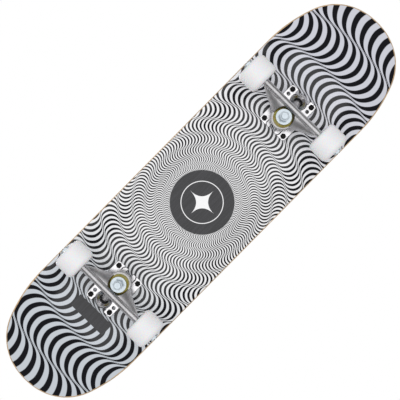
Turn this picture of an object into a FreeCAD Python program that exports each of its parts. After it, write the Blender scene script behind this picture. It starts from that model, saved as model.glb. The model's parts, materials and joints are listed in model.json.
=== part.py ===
"""Double-kick street skateboard, standing on its four wheels.

Frame: origin on the ground under the middle of the board, +X towards the nose, +Y to the
rider's left, +Z up. All lengths are millimetres and all angles are degrees.

Each truck is drawn once in its own frame: x away from the middle of the board, y across it,
z up, with the origin on the deck's underside in the middle of the bolt pattern. The nose
truck stands that way round, and the tail truck is the same truck turned half a turn.
"""
import FreeCAD, Part
import math
import os
import Sketcher

Vector = FreeCAD.Vector
Rotation = FreeCAD.Rotation
Placement = FreeCAD.Placement

DOC = FreeCAD.newDocument("skateboard")

# name, value, what it is
DIMENSIONS = [
    ("deck_length", 812.8, "deck, nose to tail, measured level"),
    ("deck_width", 206.4, "deck, rail to rail"),
    ("ply_thickness", 1.5, "one maple veneer"),
    ("tip_over", 10.5, "outline arc round nose and tail, its radius over half the width"),
    ("shoulder_under", 13.4, "outline arc between tip and side, its radius under half the width"),
    ("side_radius", 273.0, "outline arc that runs into the straight rail"),
    ("rail_reach", 149.4, "end of the straight rail, in from the tip of the deck"),
    ("trim", 12.0, "pressed plies beyond the deck's outline, trimmed off"),
    ("concave_flat_half", 46.0, "flat strip of the concave, from the centre line"),
    ("concave_radius", 175.0, "underside radius of the raised rails"),
    ("kick_reach", 154.4, "where the bend of a kick starts, in from the tip of the deck"),
    ("kick_radius", 165.0, "underside radius of the kick bend"),
    ("kick_angle", 20.0, "rise of nose and tail"),
    ("edge_round_under", 3.2, "round of the deck's lower edge"),
    ("edge_round_upper", 2.0, "round of the deck's upper edge"),
    ("grip_thickness", 0.8, "griptape sheet"),
    ("truck_reach", 211.15, "middle of a bolt pattern, in from the tip of the deck"),
    ("hole_length", 63.5, "bolt pattern along the deck"),
    ("hole_width", 41.3, "bolt pattern across the deck"),
    ("hole_step", 9.5, "second outer row, nearer the middle of the truck"),
    ("bolt_diameter", 4.8, "mounting bolt shank"),
    ("bolt_head", 9.4, "mounting bolt countersunk head"),
    ("bolt_head_height", 2.6, "mounting bolt countersunk head"),
    ("bolt_length", 25.4, "mounting bolt, over all"),
    ("bolt_clearance", 0.25, "radial room round a mounting bolt"),
    ("cross_length", 4.6, "cross recess of a mounting bolt"),
    ("cross_width", 1.1, "cross recess of a mounting bolt"),
    ("cross_depth", 1.5, "cross recess of a mounting bolt"),
    ("mount_nut_flats", 8.0, "mounting nut across flats"),
    ("mount_nut_height", 5.0, "mounting nut"),
    ("base_length", 76.0, "baseplate along the deck"),
    ("base_width", 54.0, "baseplate across the deck"),
    ("base_thickness", 5.6, "baseplate flange"),
    ("base_corner", 4.5, "baseplate corner radius"),
    ("notch_width", 27.0, "notch between the baseplate's ears at the pivot end"),
    ("notch_depth", 8.5, "notch between the baseplate's ears at the pivot end"),
    ("notch_corner", 3.0, "corner radius of the notch"),
    ("boss_radius", 13.3, "kingpin boss and pivot boss"),
    ("heel_corner", 5.0, "corner radius of the kingpin boss's heel"),
    ("heel_depth", 5.0, "heel behind the kingpin boss, below the flange"),
    ("boss_foot_radius", 14.2, "upright foot of the kingpin boss"),
    ("boss_foot_depth", 9.0, "upright foot of the kingpin boss, below the flange"),
    ("boss_foot_level", 4.0, "where that foot meets the boss's axis, behind its seat"),
    ("rib_depth", 3.0, "rib between the bosses, below the flange"),
    ("slot_width", 11.0, "slot in the end of the kingpin boss"),
    ("slot_depth", 9.0, "slot in the end of the kingpin boss"),
    ("ring_x", -14.8, "middle of the hanger's ring, along the truck"),
    ("ring_drop", 36.0, "middle of the hanger's ring, below the deck"),
    ("kingpin_lean", 6.0, "kingpin's lean from upright"),
    ("kingpin_diameter", 9.5, "kingpin shank"),
    ("kingpin_head_flats", 14.0, "kingpin head across flats"),
    ("kingpin_head_height", 6.0, "kingpin head"),
    ("kingpin_nut_flats", 14.3, "kingpin nut across flats"),
    ("kingpin_nut_height", 8.0, "kingpin nut"),
    ("kingpin_over_nut", 2.6, "kingpin past its nut"),
    ("seat_wall", 10.0, "boss wall between kingpin head and washer"),
    ("head_room", 0.4, "radial room round the kingpin's head"),
    ("ring_radius", 19.0, "hanger's ring, outside"),
    ("ring_hole", 8.6, "hanger's ring, hole radius"),
    ("ring_thickness", 7.0, "hanger's ring"),
    ("ring_round", 1.6, "rounded edges of the hanger's ring"),
    ("board_bushing_length", 13.0, "bushing between baseplate and hanger"),
    ("board_bushing_radius", 13.2, "bushing between baseplate and hanger"),
    ("road_bushing_length", 11.0, "bushing between hanger and nut"),
    ("road_bushing_base", 15.4, "wide end of the lower bushing, radius"),
    ("road_bushing_flange", 3.0, "height of the lower bushing's wide end"),
    ("road_bushing_tip", 10.6, "narrow end of the lower bushing, radius"),
    ("road_bushing_step", 0.8, "chamfer under the lower bushing's wide end"),
    ("road_bushing_round", 0.8, "round of the lower bushing's wide end"),
    ("board_bushing_round", 1.2, "round of the upper bushing's ends"),
    ("bushing_bore", 5.0, "bore radius of both bushings"),
    ("bushing_ease", 0.4, "lower bushing past the lip of its washer"),
    ("washer_thickness", 1.6, "cupped washers"),
    ("washer_lip", 2.2, "height of the lip of the cupped washers"),
    ("washer_wall", 1.4, "wall of the lip of the cupped washers"),
    ("board_washer_radius", 15.0, "upper cupped washer"),
    ("road_washer_radius", 12.4, "lower cupped washer"),
    ("axle_x", 5.8, "axle, along the truck"),
    ("axle_drop", 53.0, "axle, below the deck"),
    ("axle_diameter", 8.0, "axle"),
    ("axle_length", 199.0, "axle"),
    ("hanger_length", 127.0, "hanger, end to end"),
    ("housing_radius", 5.7, "axle housing of the hanger"),
    ("wing_reach", 31.0, "how far the hanger's wings reach from the axle at the ring"),
    ("wing_thickness", 14.0, "thickness of the wings at the middle"),
    ("pivot_root_x", -0.5, "foot of the pivot stem, along the truck"),
    ("pivot_root_drop", 40.0, "foot of the pivot stem, below the deck"),
    ("bushing_room", 0.6, "radial room round the bushings in the hanger"),
    ("pivot_x", 23.7, "pivot ball, along the truck"),
    ("pivot_drop", 14.0, "pivot ball, below the deck"),
    ("pivot_ball_radius", 5.6, "pivot ball"),
    ("pivot_neck_step", 0.7, "pivot stem's neck, in from the ball's surface"),
    ("pivot_root_radius", 9.6, "pivot stem where it leaves the hanger"),
    ("spine_wall", 1.6, "spine between axle and stem, thicker than the axle housing"),
    ("cup_wall", 1.8, "wall of the pivot cup"),
    ("cup_depth", 9.0, "pivot cup's inside depth"),
    ("cup_stand", 0.6, "pivot cup's rim past the mouth of its bore"),
    ("running_gap", 0.05, "radial running clearance of pivot ball and bearings"),
    ("wheel_radius", 26.5, "wheel"),
    ("wheel_width", 36.0, "wheel"),
    ("wheel_round", 7.5, "round of the wheel's shoulders"),
    ("wheel_mouth", 14.5, "radius of the flared mouth of the wheel's bore"),
    ("wheel_mouth_step", 0.8, "step from the bearing's seat to the flared mouth"),
    ("wheel_web_bore", 9.4, "radius of the wheel's bore between its bearings"),
    ("bearing_bore", 4.0, "bearing inner ring, bore radius"),
    ("bearing_radius", 11.0, "bearing outer ring, outside radius"),
    ("bearing_width", 7.0, "bearing"),
    ("bearing_inner_land", 6.05, "inner ring, outside radius"),
    ("bearing_outer_land", 9.1, "outer ring, inside radius"),
    ("ball_radius", 1.98, "bearing ball"),
    ("ball_circle", 7.55, "radius of the circle of balls"),
    ("cage_inner", 6.6, "ball cage, inside radius"),
    ("cage_outer", 8.5, "ball cage, outside radius"),
    ("cage_width", 4.8, "ball cage"),
    ("shield_bore", 6.35, "bearing shield, bore radius"),
    ("shield_thickness", 0.5, "bearing shield"),
    ("shield_inset", 0.35, "bearing shield, in from the bearing's face"),
    ("spacer_length", 10.0, "tube between the two bearings of a wheel"),
    ("spacer_radius", 5.2, "tube between the two bearings of a wheel"),
    ("speed_washer_thickness", 1.0, "thin washer beside a bearing"),
    ("speed_washer_radius", 5.6, "thin washer beside a bearing"),
    ("axle_nut_flats", 12.7, "axle nut across flats"),
    ("axle_nut_height", 8.0, "axle nut"),
    ("past", 1.0, "how far a cutter passes the face that it opens"),
]

PLY_NAMES = [f"deck_ply_{number}" for number in range(1, 8)]
BALLS_PER_BEARING = 7
# Radius of the sphere that rounds a nut's corners, as a share of its width across flats.
NUT_CORNER_SHARE = 0.635
# The pivot stem's neck starts this share of the ball's radius from its middle.
NECK_SHARE = 0.6
# The spine meets the pivot stem at this share of the stem's length.
SPINE_SHARE = 0.72
# The ends of the wings are drawn this share of the housing's radius from the axle.
BURIED_SHARE = 0.8
TRUCKS = {"front": 0.0, "rear": 180.0}

ALIASES = {alias for alias, _, _ in DIMENSIONS}
sheet = DOC.addObject("Spreadsheet::Sheet", "sizes")
for row, (alias, value, note) in enumerate(DIMENSIONS, start=1):
    sheet.set(f"A{row}", alias)
    sheet.set(f"B{row}", str(value))
    sheet.set(f"C{row}", note)
    sheet.setAlias(f"B{row}", alias)
DOC.recompute()


def size(expression):
    """The present value of a formula in the sheet's sizes."""
    return float(sheet.evalExpression(expression))


def bind(thing, **formulas):
    """Tie properties of a document object to formulas in the sheet's sizes."""
    for name, formula in formulas.items():
        words = formula.split(" ")
        bound = " ".join(f"sizes.{word}" if word in ALIASES else word for word in words)
        thing.setExpression(name, bound)
    return thing


# An edge whose box is flatter than this lies level.
LEVEL = 0.01


# ---------------------------------------------------------------- small building blocks

def primitive(kind, name, at=Vector(), turn=Rotation(), **formulas):
    """A Part primitive whose sizes are bound to the sheet."""
    solid = bind(DOC.addObject(f"Part::{kind}", name), **formulas)
    solid.Placement = Placement(at, turn)
    return solid


def disc(name, radius, low, high, at=Vector(), turn=Rotation()):
    """A cylinder from low to high along its own axis, all three given as formulas."""
    start = at + turn.multVec(Vector(0, 0, size(low)))
    return primitive("Cylinder", name, start, turn, Radius=radius, Height=f"( {high} ) - ( {low} )")


def cone(name, radius_low, radius_high, low, high, at=Vector(), turn=Rotation()):
    """A cone from low to high along its own axis."""
    start = at + turn.multVec(Vector(0, 0, size(low)))
    return primitive("Cone", name, start, turn, Radius1=radius_low, Radius2=radius_high,
                     Height=f"( {high} ) - ( {low} )")


def block(name, length, width, height, corner):
    """A box from its low corner."""
    return primitive("Box", name, corner, Length=length, Width=width, Height=height)


def with_round_edges(base, radius, chosen):
    """A Part fillet of one radius, given as a number, on the edges that the test accepts."""
    DOC.recompute()
    result = DOC.addObject("Part::Fillet", f"{base.Name}_rounded")
    result.Base = base
    result.Edges = [(index, radius, radius) for index, edge in enumerate(base.Shape.Edges, start=1)
                    if chosen(edge)]
    return result


def fuse(name, *pieces):
    result = DOC.addObject("Part::MultiFuse", name)
    result.Shapes = list(pieces)
    result.Refine = True
    return result


def common(name, *pieces):
    result = DOC.addObject("Part::MultiCommon", name)
    result.Shapes = list(pieces)
    return result


def cut(name, base, *tools):
    result = DOC.addObject("Part::Cut", name)
    result.Base = base
    result.Tool = tools[0] if len(tools) == 1 else fuse(f"{name}_tools", *tools)
    return result


def group(name, base, places):
    """Several copies of one piece, as one compound of separate solids."""
    result = DOC.addObject("Part::Compound", name)
    links = []
    for number, place in enumerate(places, start=1):
        link = DOC.addObject("App::Link", f"{name}_{number}")
        link.LinkedObject = base
        link.LinkTransform = False
        link.Placement = place
        links.append(link)
    result.Links = links
    return result


def hex_nut(name, flats, height, bore):
    """A hexagon nut with rounded-off corners, standing on z = 0."""
    prism = primitive("Prism", f"{name}_prism", Height=height, Circumradius=f"{flats} / 2 / cos( 30 )")
    prism.Polygon = 6
    ball = primitive("Sphere", f"{name}_chamfer", Vector(0, 0, size(height) / 2),
                     Radius=f"{flats} * {NUT_CORNER_SHARE}")
    hole = disc(f"{name}_bore", bore, "0 - past", f"{height} + past")
    return cut(name, common(f"{name}_blank", prism, ball), hole)


def sketch_profile(body, points, role="XZ_Plane"):
    """A closed polygon on one of the body's own planes; each coordinate is a formula."""
    sketch = body.newObject("Sketcher::SketchObject", f"{body.Name}_profile")
    plane = next(item for item in body.Origin.OriginFeatures if item.Role == role)
    sketch.AttachmentSupport = [(plane, "")]
    sketch.MapMode = "FlatFace"
    corners = [Vector(size(first), size(second), 0) for first, second in points]
    for index, corner in enumerate(corners):
        following = corners[(index + 1) % len(corners)]
        sketch.addGeometry(Part.LineSegment(corner, following), False)
    for index in range(len(corners)):
        after = (index + 1) % len(corners)
        sketch.addConstraint(Sketcher.Constraint("Coincident", index, 2, after, 1))
    for index, formulas in enumerate(points):
        for kind, on_axis, formula in zip(("DistanceX", "DistanceY"), (-2, -1), formulas):
            if formula == "0":
                sketch.addConstraint(Sketcher.Constraint("PointOnObject", index, 1, on_axis))
                continue
            rule = sketch.addConstraint(
                Sketcher.Constraint(kind, -1, 1, index, 1, size(formula)))
            bind(sketch, **{f"Constraints[{rule}]": formula})
    return sketch


def turned(name, points):
    """A body turned on a lathe about its own z axis: points are (radius, z) formulas."""
    body = DOC.addObject("PartDesign::Body", name)
    sketch = sketch_profile(body, points)
    revolution = body.newObject("PartDesign::Revolution", f"{name}_turn")
    revolution.Profile = sketch
    revolution.ReferenceAxis = (sketch, ["V_Axis"])
    revolution.Angle = 360.0
    body.Tip = revolution
    return body


def rounded(body, radius, chosen):
    """A fillet of one radius on the edges of the body's tip that the test accepts."""
    DOC.recompute()
    base = body.Tip
    names = [f"Edge{index}" for index, edge in enumerate(base.Shape.Edges, start=1) if chosen(edge)]
    fillet = body.newObject("PartDesign::Fillet", f"{body.Name}_round")
    fillet.Base = (base, names)
    bind(fillet, Radius=radius)
    body.Tip = fillet
    return body


def finish(piece, label, place=Placement()):
    """Name a finished sub-part and put it where it belongs."""
    piece.Label = label
    piece.Placement = place
    FINISHED.append(piece)
    return piece


FINISHED = []

# ---------------------------------------------------------------- heights shared by all parts

STACK = f"{len(PLY_NAMES)} * ply_thickness"
UNDERSIDE = size("wheel_radius + axle_drop")
DECK_TOP = UNDERSIDE + size(STACK)
KICK_START = "deck_length / 2 - kick_reach"
TRUCK_CENTRE = "deck_length / 2 - truck_reach"


def hole_places(far_row="hole_length / 2"):
    """The four bolt positions of a truck, in the truck's frame."""
    return [Vector(x, side * size("hole_width / 2"), 0)
            for x in (-size("hole_length / 2"), size(far_row)) for side in (-1, 1)]


def truck_place(turn):
    """The frame of a truck: on the deck's underside in the middle of its bolt pattern."""
    rotation = Rotation(Vector(0, 0, 1), turn)
    return Placement(rotation.multVec(Vector(size(TRUCK_CENTRE), 0, 0)) + Vector(0, 0, UNDERSIDE), rotation)


# ---------------------------------------------------------------- deck and griptape

def concave_section(low, high):
    """The cross-section of a layer between two heights above the underside."""
    flat = size("concave_flat_half")
    reach = size("deck_width / 2 + trim")
    centre = size("concave_radius")

    def arc_points(height):
        radius = centre - height
        end = math.asin((reach - flat) / centre)
        middle = end / 2
        return [Vector(0, flat + radius * math.sin(angle), centre - radius * math.cos(angle))
                for angle in (0.0, middle, end)]

    def mirrored(point):
        return Vector(point.x, -point.y, point.z)

    lower = arc_points(low)
    upper = arc_points(high)
    edges = [
        Part.LineSegment(mirrored(lower[0]), lower[0]),
        Part.Arc(*lower),
        Part.LineSegment(lower[2], upper[2]),
        Part.Arc(*reversed(upper)),
        Part.LineSegment(upper[0], mirrored(upper[0])),
        Part.Arc(*[mirrored(point) for point in upper]),
        Part.LineSegment(mirrored(upper[2]), mirrored(lower[2])),
        Part.Arc(*[mirrored(point) for point in reversed(lower)]),
    ]
    return Part.Face(Part.Wire([edge.toShape() for edge in edges]))


def deck_layer(low, high):
    """A layer of the pressed deck, larger than its outline: flat, two bends and two kicks."""
    face = concave_section(low, high)
    face.translate(Vector(0, 0, UNDERSIDE))
    start = size(KICK_START)
    angle = size("kick_angle")
    centre = Vector(start, 0, UNDERSIDE + size("kick_radius"))
    face.translate(Vector(start, 0, 0))
    flat = face.extrude(Vector(-2 * start, 0, 0))
    bend = face.revolve(centre, Vector(0, 1, 0), -angle)
    face.rotate(centre, Vector(0, 1, 0), -angle)
    kick_length = size("deck_length") / 2 - start
    rise = math.radians(angle)
    kick = face.extrude(Vector(math.cos(rise), 0, math.sin(rise)) * kick_length)
    ends = [bend, kick]
    ends += [piece.mirror(Vector(), Vector(1, 0, 0)) for piece in ends]
    return flat.multiFuse(ends).removeSplitter()


def outline_prism(inset=0.0):
    """Everything inside the deck's outline, drawn in by an inset."""
    half_width = size("deck_width") / 2 - inset
    tip = size("deck_length") / 2 - inset
    tip_radius = size("deck_width / 2 + tip_over") - inset
    shoulder_radius = size("deck_width / 2 - shoulder_under") - inset
    side_radius = size("side_radius") - inset
    rail = size("deck_length / 2 - rail_reach")
    tip_centre = Vector(tip - tip_radius, 0, 0)
    side_centre = Vector(rail, half_width - side_radius, 0)
    # The shoulder touches both neighbours from inside, so its centre stands at the
    # difference of the radii from each of their centres.
    across = tip_centre - side_centre
    from_tip = tip_radius - shoulder_radius
    from_side = side_radius - shoulder_radius
    along = (from_side ** 2 - from_tip ** 2 + across.Length ** 2) / (2 * across.Length)
    aside = math.sqrt(from_side ** 2 - along ** 2)
    unit = across / across.Length
    shoulder_centre = side_centre + unit * along + Vector(unit.y, -unit.x, 0) * aside

    def on_arc(centre, radius, towards):
        direction = towards - centre
        return centre + direction * (radius / direction.Length)

    nose = Vector(tip, 0, 0)
    tip_end = on_arc(tip_centre, tip_radius, shoulder_centre)
    side_start = on_arc(side_centre, side_radius, shoulder_centre)
    side_end = Vector(rail, half_width, 0)
    quarter = [
        (nose, on_arc(tip_centre, tip_radius, nose + tip_end - tip_centre), tip_end),
        (tip_end, on_arc(shoulder_centre, shoulder_radius, (tip_end + side_start) / 2), side_start),
        (side_start, on_arc(side_centre, side_radius, (side_start + side_end) / 2), side_end),
    ]

    def flipped(point, sign_x, sign_y):
        return Vector(point.x * sign_x, point.y * sign_y, 0)

    edges = []
    for sign_x, sign_y in ((1, 1), (-1, 1), (-1, -1), (1, -1)):
        edges += [Part.Arc(*[flipped(point, sign_x, sign_y) for point in arc]) for arc in quarter]
    for sign_y in (1, -1):
        edges.append(Part.LineSegment(flipped(side_end, 1, sign_y), flipped(side_end, -1, sign_y)))
    wire = Part.Wire(Part.__sortEdges__([edge.toShape() for edge in edges]))
    prism = Part.Face(wire).extrude(Vector(0, 0, 2 * size("deck_length")))
    prism.translate(Vector(0, 0, UNDERSIDE - size("deck_length")))
    return prism


def screw_holes():
    """Room for the eight countersunk bolts, from below the deck up through the griptape."""
    room = size("bolt_clearance")
    shank = size("bolt_diameter") / 2
    head = size("bolt_head") / 2
    head_low = DECK_TOP - size("bolt_head_height")
    past = size("past")
    tools = []
    for turn in TRUCKS.values():
        for spot in hole_places():
            centre = truck_place(turn).multVec(spot)
            base = Vector(centre.x, centre.y, UNDERSIDE - past)
            tools.append(Part.makeCylinder(shank + room, DECK_TOP - UNDERSIDE, base))
            low = Vector(centre.x, centre.y, head_low)
            tools.append(Part.makeCone(shank, head, size("bolt_head_height"), low))
            top = Vector(centre.x, centre.y, DECK_TOP)
            tools.append(Part.makeCylinder(head + room, size("grip_thickness + past"), top))
    return tools


def round_rim(solid, up, radius):
    """Round the edge between the rim and the deck's upper faces (up is 1) or lower faces (-1)."""
    upright_normal = 0.02
    level_normal = 0.5

    def rise(face):
        u_low, u_high, v_low, v_high = face.ParameterRange
        return face.normalAt((u_low + u_high) / 2, (v_low + v_high) / 2).z

    rim = {edge.hashCode() for face in solid.Faces if abs(rise(face)) < upright_normal
           for edge in face.Edges}
    broad = [face for face in solid.Faces if up * rise(face) > level_normal]
    return solid.makeFillet(radius, [edge for face in broad for edge in face.Edges
                                     if edge.hashCode() in rim])


def build_deck():
    """Seven pressed plies with a rounded rim, and the griptape on top."""
    prism = outline_prism()
    whole = deck_layer(0.0, size(STACK)).common(prism).Solids[0]
    whole = round_rim(whole, 1, size("edge_round_upper"))
    whole = round_rim(whole, -1, size("edge_round_under"))
    whole = whole.cut(screw_holes())
    ply = size("ply_thickness")
    beyond = 3.0  # the outermost slices reach past the faces that they share with the deck
    last = len(PLY_NAMES) - 1
    for number, label in enumerate(PLY_NAMES):
        low = number * ply - (beyond if number == 0 else 0.0)
        high = (number + 1) * ply + (beyond if number == last else 0.0)
        layer = deck_layer(low, high)
        sheet_of_wood = DOC.addObject("Part::Feature", label)
        sheet_of_wood.Shape = whole.common(layer).Solids[0]
        finish(sheet_of_wood, label)
    top = size(STACK)
    inner = outline_prism(size("edge_round_upper"))
    grip = deck_layer(top, top + size("grip_thickness")).common(inner).cut(screw_holes())
    griptape = DOC.addObject("Part::Feature", "griptape")
    griptape.Shape = grip.Solids[0]
    finish(griptape, "griptape")


# ---------------------------------------------------------------- kingpin and what is on it

RING_LOW = "0 - ring_thickness / 2"
RING_HIGH = "ring_thickness / 2"
BOARD_WASHER = f"{RING_HIGH} + board_bushing_length"
SEAT = f"{BOARD_WASHER} + washer_thickness"
KINGPIN_HEAD = f"{SEAT} + seat_wall"
ROAD_WASHER = f"{RING_LOW} - road_bushing_length - washer_thickness"
KINGPIN_NUT = f"{ROAD_WASHER} - kingpin_nut_height"
KINGPIN_END = f"{KINGPIN_NUT} - kingpin_over_nut"


def kingpin_frame():
    """In the truck's frame: the middle of the hanger's ring, z up along the kingpin."""
    return Placement(Vector(size("ring_x"), 0, -size("ring_drop")),
                     Rotation(Vector(0, 1, 0), -size("kingpin_lean")))


def kingpin(name):
    """A bolt with a hexagon head, drawn in the kingpin's frame."""
    shank = disc(f"{name}_shank", "kingpin_diameter / 2", KINGPIN_END, f"{KINGPIN_HEAD} + past")
    head = primitive("Prism", f"{name}_head", Vector(0, 0, size(KINGPIN_HEAD)),
                     Height="kingpin_head_height",
                     Circumradius="kingpin_head_flats / 2 / cos( 30 )")
    head.Polygon = 6
    return fuse(name, shank, head)


def cupped_washer(name, radius, low, lip_up):
    """A washer with a turned lip; low is the height of its flat's lower face."""
    flat_high = f"{low} + washer_thickness"
    rim_end = f"{flat_high} + washer_lip" if lip_up else f"{low} - washer_lip"
    near, far = (flat_high, low) if lip_up else (low, flat_high)
    inner = f"{radius} - washer_wall"
    return turned(name, [("bushing_bore", far), ("bushing_bore", near), (inner, near),
                         (inner, rim_end), (radius, rim_end), (radius, far)])


def board_bushing(name):
    """The barrel bushing between baseplate and hanger."""
    body = turned(name, [("bushing_bore", RING_HIGH), ("board_bushing_radius", RING_HIGH),
                         ("board_bushing_radius", BOARD_WASHER), ("bushing_bore", BOARD_WASHER)])
    return rounded(body, "board_bushing_round",
                   lambda edge: edge.BoundBox.XLength > 2 * size("board_bushing_radius") - LEVEL
                   and edge.BoundBox.ZLength < LEVEL)


def road_bushing(name):
    """The cone bushing between hanger and nut, with a wide flange on the hanger."""
    flange = f"{RING_LOW} - road_bushing_flange"
    neck = f"{ROAD_WASHER} + washer_thickness"
    straight = f"{neck} + washer_lip + bushing_ease"
    shoulder = "( road_bushing_base + road_bushing_tip ) / 2 + bushing_ease"
    body = turned(name, [("bushing_bore", RING_LOW), ("road_bushing_base", RING_LOW),
                         ("road_bushing_base", flange), (shoulder, f"{flange} - road_bushing_step"),
                         ("road_bushing_tip", straight), ("road_bushing_tip", neck),
                         ("bushing_bore", neck)])
    return rounded(body, "road_bushing_round",
                   lambda edge: edge.BoundBox.XLength > 2 * size("road_bushing_base") - LEVEL)


# ---------------------------------------------------------------- baseplate and pivot cup

def pivot_frame():
    """In the truck's frame: the middle of the pivot ball, z along the stem to its foot."""
    ball = Vector(size("pivot_x"), 0, -size("pivot_drop"))
    foot = Vector(size("pivot_root_x"), 0, -size("pivot_root_drop"))
    return Placement(ball, Rotation(Vector(0, 0, 1), foot - ball))


def stem_length():
    ball = Vector(size("pivot_x"), 0, -size("pivot_drop"))
    return (Vector(size("pivot_root_x"), 0, -size("pivot_root_drop")) - ball).Length


CUP_MOUTH = "cup_depth - pivot_ball_radius - running_gap"
CUP_BACK = "0 - pivot_ball_radius - running_gap - cup_wall"
CUP_RADIUS = "pivot_ball_radius + running_gap + cup_wall"


def pivot_cup(name):
    """A plastic cup for the pivot ball, drawn in the pivot's frame."""
    blank = disc(f"{name}_blank", CUP_RADIUS, CUP_BACK, CUP_MOUTH)
    throat = disc(f"{name}_throat", "pivot_ball_radius + running_gap", "0", f"{CUP_MOUTH} + past")
    seat = primitive("Sphere", f"{name}_seat", Radius="pivot_ball_radius + running_gap")
    return cut(name, blank, throat, seat)


def baseplate(name):
    """Flange, kingpin boss with a slot in its end, pivot boss, rib and six holes."""
    half_length = size("base_length / 2")
    half_width = size("base_width / 2")
    thickness = size("base_thickness")
    flange_blank = block(f"{name}_flange_blank", "base_length", "base_width", "base_thickness",
                         Vector(-half_length, -half_width, -thickness))
    rounded_flange = with_round_edges(flange_blank, size("base_corner"),
                                      lambda edge: edge.BoundBox.ZLength > thickness / 2)
    notch_start = size("base_length / 2 - notch_depth")
    notch_blank = block(f"{name}_notch", "2 * notch_depth", "notch_width", "3 * base_thickness",
                        Vector(notch_start, -size("notch_width / 2"), -2 * thickness))
    notch = with_round_edges(notch_blank, size("notch_corner"),
                             lambda edge: edge.BoundBox.ZLength > thickness
                             and edge.BoundBox.XMax < notch_start + LEVEL)
    flange = cut(f"{name}_flange", rounded_flange, notch)
    frame = kingpin_frame()
    pin_at, pin_turn = frame.Base, frame.Rotation
    cup = pivot_frame()
    boss = disc(f"{name}_kingpin_boss", "boss_radius", SEAT, f"{SEAT} + ring_drop", pin_at, pin_turn)
    boss_x = frame.multVec(Vector(0, 0, size(f"{SEAT} + boss_foot_level"))).x
    heel_low = -size("base_thickness + heel_depth")
    heel_blank = block(f"{name}_heel", "base_length / 2", "2 * boss_radius",
                       "base_thickness + heel_depth",
                       Vector(-half_length, -size("boss_radius"), heel_low))
    heel = with_round_edges(heel_blank, size("heel_corner"),
                            lambda edge: edge.BoundBox.ZLength > thickness
                            and edge.BoundBox.XMax < -half_length + LEVEL)
    boss_foot = disc(f"{name}_boss_foot", "boss_foot_radius", "0 - base_thickness - boss_foot_depth", "0",
                     Vector(boss_x, 0, 0))
    pivot_post = disc(f"{name}_pivot_post", "boss_radius", "0 - pivot_drop", "0",
                      Vector(cup.Base.x, 0, 0))
    pivot_dome = primitive("Sphere", f"{name}_pivot_dome", cup.Base, Radius="boss_radius")
    rib_low = -size("base_thickness + rib_depth")
    rib = block(f"{name}_rib", "pivot_x - ring_x", "boss_radius", "base_thickness + rib_depth",
                Vector(size("ring_x"), -size("boss_radius") / 2, rib_low))
    solid = fuse(f"{name}_solid", flange, boss, heel, boss_foot, pivot_post, pivot_dome, rib)

    above = block(f"{name}_above", "2 * base_length", "2 * base_width", "2 * base_length",
                  Vector(-2 * half_length, -2 * half_width, 0))
    past_mouth = disc(f"{name}_past_mouth", "2 * boss_radius", f"{CUP_MOUTH} - cup_stand",
                      f"{CUP_MOUTH} + 2 * boss_radius", cup.Base, cup.Rotation)
    under_rib = block(f"{name}_under_rib", "base_length", "2 * base_width", "2 * ring_drop",
                      Vector(-half_length, -size("base_width"), rib_low - size("2 * ring_drop")))
    beyond_mouth = common(f"{name}_beyond_mouth", past_mouth, under_rib)
    cup_bore = disc(f"{name}_cup_bore", CUP_RADIUS, CUP_BACK, f"{CUP_MOUTH} + cup_depth / 2",
                    cup.Base, cup.Rotation)
    seat_cut = disc(f"{name}_seat_cut", "board_washer_radius + past", "0", SEAT, pin_at, pin_turn)
    pin_bore = disc(f"{name}_pin_bore", "kingpin_diameter / 2", "0", f"{SEAT} + ring_drop",
                    pin_at, pin_turn)
    head_pocket = disc(f"{name}_head_pocket", "kingpin_head_flats / 2 / cos( 30 ) + head_room",
                       KINGPIN_HEAD, f"{KINGPIN_HEAD} + ring_drop", pin_at, pin_turn)
    slot = block(f"{name}_slot", "slot_depth + past", "slot_width", "ring_drop",
                 Vector(-half_length - size("past"), -size("slot_width") / 2, -size("ring_drop")))
    spare_places = hole_places("hole_length / 2 - hole_step")[2:]
    holes = [disc(f"{name}_hole_{number}", "bolt_diameter / 2 + bolt_clearance",
                  "0 - base_thickness - past", "past", spot)
             for number, spot in enumerate(hole_places() + spare_places)]
    return cut(name, solid, above, beyond_mouth, cup_bore, seat_cut, pin_bore, head_pocket,
               slot, *holes)


# ---------------------------------------------------------------- hanger

# Stations of the wings: how far along half the hanger, what share of the reach they have
# there, and what share of the thickness. The last one is buried in the axle housing.
WING_STATIONS = [(0.0, 0.96, 1.0), (0.28, 1.0, 1.0), (0.47, 0.74, 0.85), (0.69, 0.43, 0.65),
                 (0.87, 0.12, 0.4), (0.96, 0.0, 0.3)]


def axle_point():
    return Vector(size("axle_x"), 0, -size("axle_drop"))


def wings(name):
    """The cast body: ellipses across the axle, long towards the ring, lofted into one skin."""
    towards_ring = kingpin_frame().Base - axle_point()
    reach_axis = towards_ring / towards_ring.Length
    turn = Rotation(reach_axis, Vector(reach_axis.z, 0, -reach_axis.x), Vector(0, 1, 0), "XZY")
    stations = [(-along, reach, thick) for along, reach, thick in reversed(WING_STATIONS[1:])]
    sections = []
    for number, (along, reach, thick) in enumerate(stations + WING_STATIONS):
        buried = f"housing_radius * {BURIED_SHARE}"
        top = f"( {buried} + ( wing_reach - {buried} ) * {reach} )"
        ellipse = bind(DOC.addObject("Part::Ellipse", f"{name}_section_{number}"),
                       MajorRadius=f"{top} / 2",
                       MinorRadius=f"wing_thickness / 2 * {thick}")
        centre = axle_point() + reach_axis * size(f"{top} / 2")
        centre.y = along * size("hanger_length") / 2
        ellipse.Placement = Placement(centre, turn)
        sections.append(ellipse)
    loft = DOC.addObject("Part::Loft", name)
    loft.Sections = sections
    loft.Solid = True
    loft.Ruled = False
    return loft


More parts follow.
